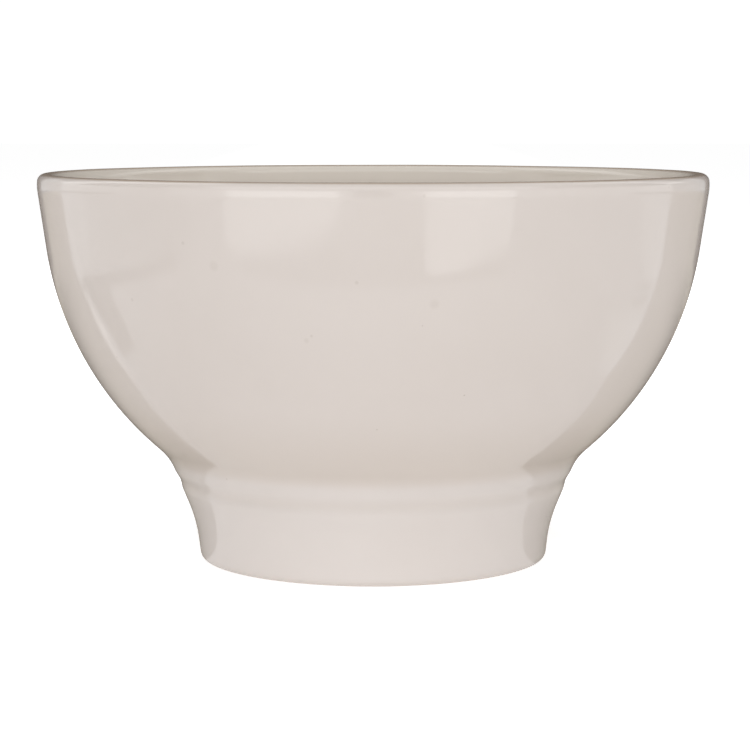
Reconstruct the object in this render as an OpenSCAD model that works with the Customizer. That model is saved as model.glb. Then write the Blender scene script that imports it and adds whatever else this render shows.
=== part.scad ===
// Latte bowl: a round clay bowl on a hollow turned foot, glazed inside and out.
// The bowl stands on z = 0 with z as its axis. Sizes are in millimetres, measured over the glaze.

/* [Bowl] */
// Widest diameter, across the rounded lip
rim_d = 140; // [126:1:154]
// Height from the table to the crest of the lip
bowl_h = 81; // [74:1:90]
// Thickness of the brim, which the lip rounds over
brim_t = 4.4; // [3.6:0.1:6]
// Height of the straight brim under the lip
brim_h = 13.2; // [8:0.2:20]
// Slope of the brim from upright, in degrees
brim_slope = 7.9; // [4:0.1:12]
// Height of the belly's lowest point above the table
belly_clear = 6.8; // [5:0.1:9]
// Thickness of the floor at its centre
floor_t = 6; // [4.6:0.1:8]

/* [Foot] */
// Diameter of the ankle, where the foot is upright
ankle_d = 74.2; // [68:0.2:80]
// Height of the ankle above the table
ankle_h = 3.8; // [3:0.1:5]
// Slope of the ankle from upright, in degrees
ankle_slope = 7.7; // [4:0.1:10]
// Radius of the cove between the ankle and the collar
cove_r = 33; // [26:1:42]
// Slope of the collar from upright, in degrees
collar_slope = 22.3; // [18:0.1:28]
// Thickness of the foot's wall at the ankle
foot_wall = 6; // [5:0.1:8]
// Slope of the hollow's wall from upright, in degrees
recess_slope = 8; // [2:0.5:14]
// Radius of both edges of the bare standing face
edge_r = 1.4; // [0.8:0.1:1.8]
// Width of the groove turned round the collar
groove_w = 4.5; // [3:0.1:5.4]
// Depth of that groove in the clay
groove_d = 0.45; // [0.2:0.05:0.8]
// Drop from the top of the collar to the middle of the groove
groove_drop = 5.1; // [4.4:0.1:7]
// Thickness of the slip that sticks the foot to the bowl
slip_t = 0.6; // [0.4:0.05:1]

/* [Glaze] */
// Thickness of the coat
glaze_t = 0.3; // [0.2:0.05:0.5]
// Length of the outer coat inside the brim, below the rounded lip
lip_wrap = 3; // [1:0.5:7]
// Extra glaze gathered in the groove
groove_fill = 0.15; // [0:0.01:0.19]
// Reach of the glaze rounded into a corner, along each side of it
corner_reach = 2.3; // [1.2:0.1:2.8]
// Angle round each standing edge at which the coat stops, from level
coat_stop = 46; // [30:1:50]

/* [Hidden] */
$fn = 128;

// Steps along each stretch of the outlines
lip_steps = 8;
belly_steps = 22;
well_steps = 32;
hidden_steps = 10;
foot_steps = 40;
corner_steps = 8;
edge_steps = 5;

bowl_clay = [0.84, 0.78, 0.70];
foot_clay = [0.80, 0.73, 0.64];
slip_clay = [0.70, 0.62, 0.53];
outer_coat = [0.86, 0.82, 0.79];
inner_coat = [0.82, 0.77, 0.72];
recess_coat = [0.83, 0.79, 0.75];

// Points of an outline are [radius, height]
function polar(angle) = [cos(angle), sin(angle)];
function cross2(u, v) = u.x * v.y - u.y * v.x;
function without_first(points) = [for (i = [1:len(points) - 1]) points[i]];
function reversed(points) = [for (i = [len(points) - 1:-1:0]) points[i]];
function arc(centre, radius, from, to, steps) =
    [for (i = [0:steps]) centre + radius * polar(from + (to - from) * i / steps)];

// Brim and lip: both sides of the brim are parallel, and the lip is a half circle on top of them
lip_c = [rim_d / 2 - brim_t / 2, bowl_h - brim_t / 2];
skin_off = brim_t / 2;
clay_off = skin_off - glaze_t;
brim_len = brim_h / cos(brim_slope);
function on_brim(offset, drop) = lip_c + offset * polar(-brim_slope) + drop * polar(-90 - brim_slope);
function brim_end(offset) = on_brim(offset, brim_len);
function lip_outside(radius) =
    concat(arc(lip_c, radius, 90, 0, lip_steps), [on_brim(radius, 0)]);
function lip_inside(radius) = arc(lip_c, radius, 90, 180 - brim_slope, lip_steps);

// Belly: a quarter ellipse that leaves the brim without a bend and is level on the axis.
// It is held as [half width, half height, height of its centre, angle at which it leaves the brim].
function belly(offset, bottom) =
    let (
        top = brim_end(offset),
        fall = top.y - bottom,
        lean = tan(brim_slope) * fall / top.x,
        rise = lean / (1 - lean),
        half_height = fall / (1 - rise)
    )
    [top.x / sqrt(1 - rise * rise), half_height, bottom + half_height, asin(rise)];
function on_belly(e, angle) = [e[0] * cos(angle), e[2] - e[1] * sin(angle)];
function belly_curve(e, from, to, steps) =
    [for (i = [0:steps]) on_belly(e, from + (to - from) * i / steps)];

// Angle at which a straight wall through p, leaning out by slope as it rises, meets the belly
function belly_angle(e, p, slope) =
    let (
        m = tan(slope),
        reach = p.x + m * (e[2] - p.y),
        qa = pow(m / e[0], 2) + pow(1 / e[1], 2),
        qb = 2 * reach * m / pow(e[0], 2),
        qc = pow(reach / e[0], 2) - 1
    )
    asin((qb + sqrt(qb * qb - 4 * qa * qc)) / (2 * qa * e[1]));

outer_belly = belly(skin_off, belly_clear);
clay_belly = belly(clay_off, belly_clear + glaze_t);
seat_belly = belly(clay_off + slip_t, belly_clear + glaze_t - slip_t);
clay_well = belly(-clay_off, belly_clear + floor_t - glaze_t);
inner_well = belly(-skin_off, belly_clear + floor_t);

// Outside of the foot: a straight ankle, a hollow cove and a straight collar, at a depth under the glaze
ankle = [ankle_d / 2, ankle_h];
cove_c = ankle + cove_r * polar(-ankle_slope);
function cove_end(depth, slope) = cove_c - (cove_r + depth) * polar(-slope);
collar_top = on_belly(outer_belly, belly_angle(outer_belly, cove_end(0, collar_slope), collar_slope));
groove_z = collar_top.y - groove_drop;
function groove_cut(z, depth) =
    abs(z - groove_z) < groove_w / 2 ? depth * (1 + cos(360 * (z - groove_z) / groove_w)) / 2 : 0;
function foot_r(z, depth) =
    let (low = cove_end(depth, ankle_slope), high = cove_end(depth, collar_slope))
    z < low.y ? low.x + (z - low.y) * tan(ankle_slope)
    : z > high.y ? high.x + (z - high.y) * tan(collar_slope)
    : cove_c.x - sqrt(pow(cove_r + depth, 2) - pow(z - cove_c.y, 2));
function foot_curve(from, to, depth, groove) =
    [for (i = [0:foot_steps]) let (z = from + (to - from) * i / foot_steps)
        [foot_r(z, depth) - groove_cut(z, groove), z]];

// Wall of the hollow under the foot, and the two round edges of the standing face
recess = [ankle_d / 2 - foot_wall, ankle_h];
recess_clay = recess + glaze_t * polar(-recess_slope);
ankle_clay = ankle - glaze_t * polar(-ankle_slope);
outer_edge_c = [
    ankle_clay.x + tan(ankle_slope) * (edge_r * (1 - sin(ankle_slope)) - ankle_clay.y)
        - edge_r * cos(ankle_slope),
    edge_r
];
inner_edge_c = [
    recess_clay.x + tan(recess_slope) * (edge_r * (1 + sin(recess_slope)) - recess_clay.y)
        + edge_r * cos(recess_slope),
    edge_r
];

// Where the clay of the foot, the slip and the clay of the bowl meet, outside and in the hollow
collar_at_bowl = belly_angle(clay_belly, cove_end(glaze_t, collar_slope), collar_slope);
collar_at_seat = belly_angle(seat_belly, cove_end(glaze_t, collar_slope), collar_slope);
recess_at_bowl = belly_angle(clay_belly, recess_clay, recess_slope);
recess_at_seat = belly_angle(seat_belly, recess_clay, recess_slope);

// Glaze rounded into the corner between the belly and a straight wall below it.
// The curve leaves the belly above the corner with side -1, and nearer the axis with side 1.
function corner_curve(angle, slope, side) =
    let (
        e = outer_belly,
        corner = on_belly(e, angle),
        wall = polar(90 - slope),
        run = norm([e[0] * sin(angle), e[1] * cos(angle)]) * PI / 180,
        start = angle + side * corner_reach / run,
        p = on_belly(e, start),
        tangent = [e[0] * sin(start), e[1] * cos(start)],
        pull = p + tangent * cross2(corner - p, wall) / cross2(tangent, wall),
        q = corner - corner_reach * wall
    )
    concat([start], [for (i = [0:corner_steps]) let (u = i / corner_steps)
        pow(1 - u, 2) * p + 2 * u * (1 - u) * pull + u * u * q]);
collar_corner = corner_curve(
    belly_angle(outer_belly, cove_end(0, collar_slope), collar_slope), collar_slope, -1);
recess_corner = corner_curve(belly_angle(outer_belly, recess, recess_slope), recess_slope, 1);

// Clay faces that two pieces share
bowl_side = concat(
    lip_outside(clay_off),
    belly_curve(clay_belly, clay_belly[3], collar_at_bowl, belly_steps));
bowl_seat = belly_curve(clay_belly, collar_at_bowl, recess_at_bowl, hidden_steps);
bowl_underside = belly_curve(clay_belly, recess_at_bowl, 90, hidden_steps);
bowl_wrap = concat([on_brim(-clay_off, lip_wrap)], reversed(lip_inside(clay_off)));
bowl_well = concat(
    [on_brim(-clay_off, lip_wrap)],
    belly_curve(clay_well, clay_well[3], 90, well_steps));
foot_seat = belly_curve(seat_belly, collar_at_seat, recess_at_seat, hidden_steps);
foot_side = concat(
    foot_curve(on_belly(seat_belly, collar_at_seat).y, outer_edge_c.y - edge_r * sin(ankle_slope),
        glaze_t, groove_d),
    without_first(arc(outer_edge_c, edge_r, -ankle_slope, -coat_stop, edge_steps)));
foot_recess = concat(
    [on_belly(seat_belly, recess_at_seat)],
    arc(inner_edge_c, edge_r, 180 - recess_slope, 180 + coat_stop, edge_steps));
standing_face = concat(
    arc(inner_edge_c, edge_r, 180 + coat_stop, 270, edge_steps),
    arc(outer_edge_c, edge_r, -90, -coat_stop, edge_steps));

// Finished faces of the coats
coat_edge_r = edge_r + glaze_t;
outer_skin = concat(
    [on_brim(-skin_off, lip_wrap)],
    reversed(lip_inside(skin_off)),
    without_first(lip_outside(skin_off)),
    belly_curve(outer_belly, outer_belly[3], collar_corner[0], belly_steps),
    without_first(without_first(collar_corner)),
    without_first(foot_curve(collar_corner[corner_steps + 1].y,
        outer_edge_c.y - coat_edge_r * sin(ankle_slope), 0, groove_d - groove_fill)),
    without_first(arc(outer_edge_c, coat_edge_r, -ankle_slope, -coat_stop, edge_steps)));
inner_skin = concat(
    [on_brim(-skin_off, lip_wrap)],
    belly_curve(inner_well, inner_well[3], 90, well_steps));
recess_skin = concat(
    belly_curve(outer_belly, 90, recess_corner[0], hidden_steps),
    without_first(without_first(recess_corner)),
    arc(inner_edge_c, coat_edge_r, 180 - recess_slope, 180 + coat_stop, edge_steps));

module turned(outline) {
    rotate_extrude() polygon(outline);
}

// Fired clay bowl
module bowl_body() {
    color(bowl_clay) turned(concat(
        bowl_wrap,
        without_first(bowl_side),
        without_first(bowl_seat),
        without_first(bowl_underside),
        reversed(without_first(bowl_well))));
}

// Fired clay foot, hollow, with a bare standing face
module foot_ring() {
    color(foot_clay) turned(concat(
        foot_seat,
        without_first(foot_recess),
        without_first(standing_face),
        without_first(reversed(without_first(foot_side)))));
}

// Ring of slip between the bowl and the foot
module joint_slip() {
    color(slip_clay) turned(concat(bowl_seat, reversed(foot_seat)));
}

// Coat on the outside, from just inside the lip to the standing edge
module outer_glaze() {
    color(outer_coat) turned(concat(
        outer_skin,
        reversed(foot_side),
        reversed(without_first(bowl_side)),
        reversed(bowl_wrap)));
}

// Coat on the inside, from the end of the outer coat to the floor
module inner_glaze() {
    color(inner_coat) turned(concat(inner_skin, reversed(bowl_well)));
}

// Coat in the hollow under the foot
module recess_glaze() {
    color(recess_coat) turned(concat(recess_skin, reversed(foot_recess), bowl_underside));
}

bowl_body();
foot_ring();
joint_slip();
outer_glaze();
inner_glaze();
recess_glaze();
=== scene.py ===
"""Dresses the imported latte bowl: its glaze coats, its bare clay, the studio and the camera.

Lengths are in metres. The bowl stands on z = 0 round the z axis, and the camera looks along +y.
"""
import logging
from collections.abc import Callable
from dataclasses import dataclass
from enum import Enum
from functools import cached_property
from math import asin, cos, pi, radians, sin, sqrt, tan

import bpy
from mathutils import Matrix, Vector


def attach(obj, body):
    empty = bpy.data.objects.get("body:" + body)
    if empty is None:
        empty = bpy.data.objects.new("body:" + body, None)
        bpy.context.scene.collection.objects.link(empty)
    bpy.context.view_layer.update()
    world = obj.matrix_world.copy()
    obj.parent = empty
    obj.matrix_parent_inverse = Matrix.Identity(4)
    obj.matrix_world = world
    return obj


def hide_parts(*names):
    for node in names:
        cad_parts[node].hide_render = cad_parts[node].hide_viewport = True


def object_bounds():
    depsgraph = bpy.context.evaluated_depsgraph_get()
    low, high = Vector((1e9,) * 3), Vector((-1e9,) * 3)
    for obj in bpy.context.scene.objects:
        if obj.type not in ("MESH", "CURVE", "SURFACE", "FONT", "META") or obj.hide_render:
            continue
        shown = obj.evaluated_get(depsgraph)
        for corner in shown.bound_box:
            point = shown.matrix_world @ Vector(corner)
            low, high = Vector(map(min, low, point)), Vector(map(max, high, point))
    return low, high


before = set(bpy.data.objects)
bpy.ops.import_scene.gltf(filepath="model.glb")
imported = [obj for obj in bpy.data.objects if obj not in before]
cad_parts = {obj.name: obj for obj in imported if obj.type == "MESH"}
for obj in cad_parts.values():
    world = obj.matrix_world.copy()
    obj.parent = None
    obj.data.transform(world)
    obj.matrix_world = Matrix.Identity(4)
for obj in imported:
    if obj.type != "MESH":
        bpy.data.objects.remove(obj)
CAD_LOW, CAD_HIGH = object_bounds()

log = logging.getLogger("latte_bowl")

MM = 0.001
TURN_STEPS = 288
MERGE_GAP = 0.001 * MM
SEED_SIZE = 1 * MM
SMOOTH_ANGLE = radians(35)

Colour = tuple[float, float, float]
Point = tuple[float, float, float]
Span = tuple[float, float]
Outline = list[Vector]
Plan = tuple[tuple[float, float], ...]

ORIGIN: Point = (0.0, 0.0, 0.0)
LEVEL_PART: Point = (1.0, 1.0, 0.0)


def polar(angle: float) -> Vector:
    """Return the unit vector at an angle from level, as (radius, height)."""
    return Vector((cos(angle), sin(angle)))


def arc(centre: Vector, radius: float, first: float, last: float, steps: int) -> Outline:
    """Return points along an arc.

    Args:
        centre: Centre of the arc, as (radius, height).
        radius: Radius of the arc.
        first: Angle of the first point, in radians from level.
        last: Angle of the last point.
        steps: Number of steps between them.

    Returns:
        The points, both ends included.
    """
    return [centre + radius * polar(first + (last - first) * i / steps) for i in range(steps + 1)]


def straight(first: Vector, last: Vector, steps: int) -> Outline:
    """Return points along a straight stretch, both ends included."""
    return [first.lerp(last, i / steps) for i in range(steps + 1)]


def joined(*stretches: Outline) -> Outline:
    """Join stretches of an outline into one.

    Args:
        stretches: The stretches, in order.

    Returns:
        The points, without those that two stretches share.
    """
    points: Outline = []
    for point in (p for stretch in stretches for p in stretch):
        if not points or (point - points[-1]).length > MERGE_GAP:
            points.append(point)
    return points


def trace(name: str, points: Outline) -> bpy.types.Object:
    """Draw a line of edges in a new object, point after point.

    Args:
        name: Name of the object and its mesh.
        points: Points of the line, in space.

    Returns:
        The object, still in edit mode.
    """
    bpy.ops.object.select_all(action="DESELECT")
    bpy.ops.mesh.primitive_plane_add(size=SEED_SIZE, location=ORIGIN)
    piece = bpy.context.active_object
    piece.name = name
    piece.data.name = name
    bpy.ops.object.mode_set(mode="EDIT")
    bpy.ops.mesh.select_all(action="SELECT")
    bpy.ops.mesh.merge(type="CENTER")
    bpy.ops.transform.translate(value=points[0])
    bpy.ops.object.mode_set(mode="OBJECT")
    bpy.ops.object.mode_set(mode="EDIT")
    for before, after in zip(points, points[1:]):
        bpy.ops.mesh.extrude_vertices_move(TRANSFORM_OT_translate={"value": after - before})
    return piece


@dataclass(frozen=True)
class Belly:
    """A quarter ellipse that leaves the brim without a bend and is level on the axis."""

    half_width: float
    half_height: float
    centre_z: float
    start: float

    def at(self, angle: float) -> Vector:
        """Return the point at an angle below level."""
        return Vector((self.half_width * cos(angle), self.centre_z - self.half_height * sin(angle)))

    def tangent(self, angle: float) -> Vector:
        """Return the direction of the curve at an angle, not normalised."""
        return Vector((self.half_width * sin(angle), self.half_height * cos(angle)))

    def curve(self, first: float, last: float, steps: int) -> Outline:
        """Return points between two angles, both ends included."""
        return [self.at(first + (last - first) * i / steps) for i in range(steps + 1)]

    def meets(self, point: Vector, slope: float) -> float:
        """Return the angle at which a straight wall meets the belly.

        Args:
            point: A point of the wall, as (radius, height).
            slope: Lean of the wall outwards as it rises, in radians from upright.

        Returns:
            The angle below level.
        """
        lean = tan(slope)
        reach = point.x + lean * (self.centre_z - point.y)
        square = (lean / self.half_width) ** 2 + (1 / self.half_height) ** 2
        single = 2 * reach * lean / self.half_width**2
        rest = (reach / self.half_width) ** 2 - 1
        root = (single + sqrt(single**2 - 4 * square * rest)) / (2 * square)
        return asin(root / self.half_height)


@dataclass(frozen=True)
class BowlForm:
    """The bowl's sizes over the glaze, and the outlines that are turned from them."""

    rim_d: float
    bowl_h: float
    brim_t: float = 4.4 * MM
    brim_h: float = 13.2 * MM
    brim_slope: float = radians(7.9)
    lip_corner_r: float = 1.7 * MM
    lip_flank_r: float = 10 * MM
    lip_widest: float = 2.4 * MM
    belly_clear: float = 6.8 * MM
    floor_t: float = 6 * MM
    ankle_d: float = 74.2 * MM
    ankle_h: float = 3.8 * MM
    ankle_slope: float = radians(7.7)
    cove_r: float = 33 * MM
    collar_slope: float = radians(22.3)
    foot_wall: float = 6 * MM
    recess_slope: float = radians(8)
    edge_r: float = 1.4 * MM
    groove_w: float = 4.5 * MM
    groove_d: float = 0.45 * MM
    groove_drop: float = 5.1 * MM
    slip_t: float = 0.6 * MM
    glaze_t: float = 0.3 * MM
    lip_wrap: float = 3 * MM
    groove_fill: float = 0.15 * MM
    corner_reach: float = 3.1 * MM
    coat_stop: float = radians(46)
    wrap_steps: int = 4
    lip_steps: int = 14
    brim_steps: int = 8
    belly_steps: int = 44
    well_steps: int = 64
    corner_steps: int = 12
    foot_steps: int = 64
    edge_steps: int = 8
    hidden_steps: int = 20

    @cached_property
    def lip_c(self) -> Vector:
        """Centre of the rounded lip."""
        return Vector((self.rim_d / 2 - self.brim_t / 2, self.bowl_h - self.brim_t / 2))

    @cached_property
    def skin_off(self) -> float:
        """Distance of the finished faces from the middle of the brim."""
        return self.brim_t / 2

    @cached_property
    def clay_off(self) -> float:
        """Distance of the clay's faces from the middle of the brim."""
        return self.brim_t / 2 - self.glaze_t

    def on_brim(self, offset: float, drop: float) -> Vector:
        """Return a point of the brim, offset outwards and dropped along its slope."""
        return self.lip_c + offset * polar(-self.brim_slope) + drop * polar(-pi / 2 - self.brim_slope)

    def brim_end(self, offset: float) -> Vector:
        """Return the point at which a face of the brim passes into the belly."""
        return self.on_brim(offset, self.brim_h / cos(self.brim_slope))

    def belly(self, offset: float, bottom: float) -> Belly:
        """Return the belly below a face of the brim.

        Args:
            offset: Distance of that face from the middle of the brim.
            bottom: Height of the belly's lowest point.

        Returns:
            The belly's curve.
        """
        top = self.brim_end(offset)
        fall = top.y - bottom
        lean = tan(self.brim_slope) * fall / top.x
        rise = lean / (1 - lean)
        half_height = fall / (1 - rise)
        return Belly(top.x / sqrt(1 - rise**2), half_height, bottom + half_height, asin(rise))

    @cached_property
    def outer_belly(self) -> Belly:
        """Finished outside of the belly."""
        return self.belly(self.skin_off, self.belly_clear)

    @cached_property
    def clay_belly(self) -> Belly:
        """Outside of the belly's clay."""
        return self.belly(self.clay_off, self.belly_clear + self.glaze_t)

    @cached_property
    def seat_belly(self) -> Belly:
        """Top of the foot's clay, under the slip."""
        return self.belly(self.clay_off + self.slip_t, self.belly_clear + self.glaze_t - self.slip_t)

    @cached_property
    def clay_well(self) -> Belly:
        """Inside of the belly's clay."""
        return self.belly(-self.clay_off, self.belly_clear + self.floor_t - self.glaze_t)

    @cached_property
    def inner_well(self) -> Belly:
        """Finished inside of the belly."""
        return self.belly(-self.skin_off, self.belly_clear + self.floor_t)

    @cached_property
    def ankle(self) -> Vector:
        """Point at which the foot's outside stands most upright."""
        return Vector((self.ankle_d / 2, self.ankle_h))

    @cached_property
    def cove_c(self) -> Vector:
        """Centre of the cove above the ankle."""
        return self.ankle + self.cove_r * polar(-self.ankle_slope)

    def cove_end(self, depth: float, slope: float) -> Vector:
        """Return the end of the cove with a slope, at a depth under the glaze."""
        return self.cove_c - (self.cove_r + depth) * polar(-slope)

    @cached_property
    def collar_angle(self) -> float:
        """Angle of the belly at which the collar meets it."""
        return self.outer_belly.meets(self.cove_end(0, self.collar_slope), self.collar_slope)

    @cached_property
    def collar_z(self) -> float:
        """Height of the corner between the collar and the belly."""
        return self.outer_belly.at(self.collar_angle).y

    @cached_property
    def groove_z(self) -> float:
        """Height of the middle of the groove."""
        return self.collar_z - self.groove_drop

    def foot_r(self, z: float, depth: float, groove: float) -> float:
        """Return the radius of the foot's outside.

        Args:
            z: Height above the table.
            depth: Depth under the finished face.
            groove: Depth of the turned groove.

        Returns:
            The radius at that height.
        """
        low = self.cove_end(depth, self.ankle_slope)
        high = self.cove_end(depth, self.collar_slope)
        cut = 0.0
        if abs(z - self.groove_z) < self.groove_w / 2:
            cut = groove * (1 + cos(2 * pi * (z - self.groove_z) / self.groove_w)) / 2
        if z < low.y:
            return low.x + (z - low.y) * tan(self.ankle_slope) - cut
        if z > high.y:
            return high.x + (z - high.y) * tan(self.collar_slope) - cut
        return self.cove_c.x - sqrt((self.cove_r + depth) ** 2 - (z - self.cove_c.y) ** 2) - cut

    def foot_curve(self, first: float, last: float, depth: float, groove: float) -> Outline:
        """Return points of the foot's outside between two heights."""
        heights = [first + (last - first) * i / self.foot_steps for i in range(self.foot_steps + 1)]
        return [Vector((self.foot_r(z, depth, groove), z)) for z in heights]

    @cached_property
    def recess(self) -> Vector:
        """Point of the hollow's wall at the height of the ankle."""
        return Vector((self.ankle_d / 2 - self.foot_wall, self.ankle_h))

    @cached_property
    def recess_clay(self) -> Vector:
        """The same point on the clay."""
        return self.recess + self.glaze_t * polar(-self.recess_slope)

    @cached_property
    def outer_edge_c(self) -> Vector:
        """Centre of the outer edge of the standing face.

        Returns:
            The point, as (radius, height).
        """
        clay = self.ankle - self.glaze_t * polar(-self.ankle_slope)
        drop = self.edge_r * (1 - sin(self.ankle_slope)) - clay.y
        radius = clay.x + tan(self.ankle_slope) * drop - self.edge_r * cos(self.ankle_slope)
        return Vector((radius, self.edge_r))

    @cached_property
    def inner_edge_c(self) -> Vector:
        """Centre of the inner edge of the standing face.

        Returns:
            The point, as (radius, height).
        """
        clay = self.recess_clay
        drop = self.edge_r * (1 + sin(self.recess_slope)) - clay.y
        radius = clay.x + tan(self.recess_slope) * drop + self.edge_r * cos(self.recess_slope)
        return Vector((radius, self.edge_r))

    def corner(self, angle: float, slope: float, side: int) -> tuple[float, Outline]:
        """Return the glaze rounded into the corner between the belly and a wall below it.

        Args:
            angle: Angle of the belly at which the wall meets it.
            slope: Slope of the wall.
            side: -1 for a curve that leaves the belly above the corner, 1 for one nearer the axis.

        Returns:
            The belly's angle at which the curve starts, and its points down to the wall.
        """
        meet = self.outer_belly.at(angle)
        wall = polar(pi / 2 - slope)
        start = angle + side * self.corner_reach / self.outer_belly.tangent(angle).length
        first = self.outer_belly.at(start)
        along = self.outer_belly.tangent(start)
        pull = first + along * ((meet - first).cross(wall) / along.cross(wall))
        last = meet - self.corner_reach * wall
        steps = [i / self.corner_steps for i in range(self.corner_steps + 1)]
        return start, [(1 - u) ** 2 * first + 2 * u * (1 - u) * pull + u**2 * last for u in steps]

    def lip_side(self) -> Outline:
        """Draw the outer half of the lip: a small corner that eases into the straight brim.

        Returns:
            Its points, from the top down.
        """
        face = self.on_brim(self.skin_off, 0)
        widest_z = self.bowl_h - self.lip_widest
        brim_r = face.x + (widest_z - face.y) * tan(self.brim_slope)
        flank_c = Vector((brim_r - self.lip_flank_r / cos(self.brim_slope), widest_z))
        inset = self.lip_flank_r - self.lip_corner_r
        turn = asin((self.lip_widest - self.lip_corner_r) / inset)
        corner_c = flank_c + inset * polar(turn)
        return joined(
            arc(corner_c, self.lip_corner_r, pi / 2, turn, self.lip_steps),
            arc(flank_c, self.lip_flank_r, turn, -self.brim_slope, self.lip_steps),
        )

    def outer_skin(self) -> Outline:
        """Draw the finished outside.

        Returns:
            Its points, from the seam inside the brim to the standing edge.
        """
        inside = pi - self.brim_slope
        seam = self.on_brim(-self.skin_off, self.lip_wrap)
        lip_side = self.lip_side()
        start, corner = self.corner(self.collar_angle, self.collar_slope, -1)
        coat_r = self.edge_r + self.glaze_t
        foot_end = self.outer_edge_c.y - coat_r * sin(self.ankle_slope)
        return joined(
            straight(seam, self.on_brim(-self.skin_off, 0), self.wrap_steps),
            arc(self.lip_c, self.skin_off, inside, pi / 2, self.lip_steps),
            lip_side,
            straight(lip_side[-1], self.brim_end(self.skin_off), self.brim_steps),
            self.outer_belly.curve(self.outer_belly.start, start, self.belly_steps),
            corner,
            self.foot_curve(corner[-1].y, foot_end, 0, self.groove_d - self.groove_fill),
            arc(self.outer_edge_c, coat_r, -self.ankle_slope, -self.coat_stop, self.edge_steps),
        )

    def foot_side(self) -> Outline:
        """Draw the outside of the foot's clay.

        Returns:
            Its points, from the seat to the end of the coat.
        """
        seat = self.seat_belly.meets(self.cove_end(self.glaze_t, self.collar_slope), self.collar_slope)
        edge_top = self.outer_edge_c.y - self.edge_r * sin(self.ankle_slope)
        return joined(
            self.foot_curve(self.seat_belly.at(seat).y, edge_top, self.glaze_t, self.groove_d),
            arc(self.outer_edge_c, self.edge_r, -self.ankle_slope, -self.coat_stop, self.edge_steps),
        )

    def outer_back(self) -> Outline:
        """Draw the clay side of the outer coat.

        Returns:
            Its points, from the standing edge to the seam.
        """
        inside = pi - self.brim_slope
        end = self.clay_belly.meets(self.cove_end(self.glaze_t, self.collar_slope), self.collar_slope)
        return joined(
            self.foot_side()[::-1],
            self.clay_belly.curve(end, self.clay_belly.start, self.hidden_steps),
            arc(self.lip_c, self.clay_off, -self.brim_slope, inside, self.lip_steps),
            [self.on_brim(-self.clay_off, self.lip_wrap)],
        )

    def inner_skin(self) -> Outline:
        """Draw the finished inside.

        Returns:
            Its points, from the middle of the floor to the seam.
        """
        seam = self.on_brim(-self.skin_off, self.lip_wrap)
        return joined(
            self.inner_well.curve(pi / 2, self.inner_well.start, self.well_steps),
            straight(self.brim_end(-self.skin_off), seam, self.brim_steps),
        )

    def inner_back(self) -> Outline:
        """Draw the clay side of the inner coat.

        Returns:
            Its points, from the seam to the middle of the floor.
        """
        return joined(
            [self.on_brim(-self.clay_off, self.lip_wrap)],
            self.clay_well.curve(self.clay_well.start, pi / 2, self.hidden_steps),
        )

    def recess_skin(self) -> Outline:
        """Draw the finished hollow under the foot.

        Returns:
            Its points, from the axis to the standing edge.
        """
        angle = self.outer_belly.meets(self.recess, self.recess_slope)
        start, corner = self.corner(angle, self.recess_slope, 1)
        edge = self.inner_edge_c
        coat_r = self.edge_r + self.glaze_t
        foot_end = edge + coat_r * polar(pi - self.recess_slope)
        return joined(
            self.outer_belly.curve(pi / 2, start, self.hidden_steps),
            corner,
            straight(corner[-1], foot_end, self.brim_steps),
            arc(edge, coat_r, pi - self.recess_slope, pi + self.coat_stop, self.edge_steps),
        )

    def foot_recess(self) -> Outline:
        """Draw the hollow's wall on the clay.

        Returns:
            Its points, from the seat to the end of the coat.
        """
        seat = self.seat_belly.meets(self.recess_clay, self.recess_slope)
        edge = self.inner_edge_c
        return joined(
            [self.seat_belly.at(seat)],
            arc(edge, self.edge_r, pi - self.recess_slope, pi + self.coat_stop, self.edge_steps),
        )

    def recess_back(self) -> Outline:
        """Draw the clay side of the coat in the hollow.

        Returns:
            Its points, from the standing edge to the axis.
        """
        angle = self.clay_belly.meets(self.recess_clay, self.recess_slope)
        return joined(
            self.foot_recess()[::-1],
            self.clay_belly.curve(angle, pi / 2, self.hidden_steps),
        )

    def standing_face(self) -> Outline:
        """Draw the bare clay that stands on the table.

        Returns:
            Its points, from the inner to the outer coat.
        """
        inner = self.inner_edge_c
        outer = self.outer_edge_c
        middle = straight(Vector((inner.x, 0)), Vector((outer.x, 0)), self.edge_steps)
        return joined(
            arc(inner, self.edge_r, pi + self.coat_stop, 1.5 * pi, self.edge_steps),
            middle,
            arc(outer, self.edge_r, -pi / 2, -self.coat_stop, self.edge_steps),
        )

    def foot_outline(self) -> Outline:
        """Draw the whole outline of the foot's clay.

        Returns:
            Its points, from the collar round to it again.
        """
        first = self.seat_belly.meets(self.cove_end(self.glaze_t, self.collar_slope), self.collar_slope)
        last = self.seat_belly.meets(self.recess_clay, self.recess_slope)
        return joined(
            self.seat_belly.curve(first, last, self.hidden_steps),
            self.foot_recess(),
            self.standing_face(),
            self.foot_side()[:0:-1],
        )


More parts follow.
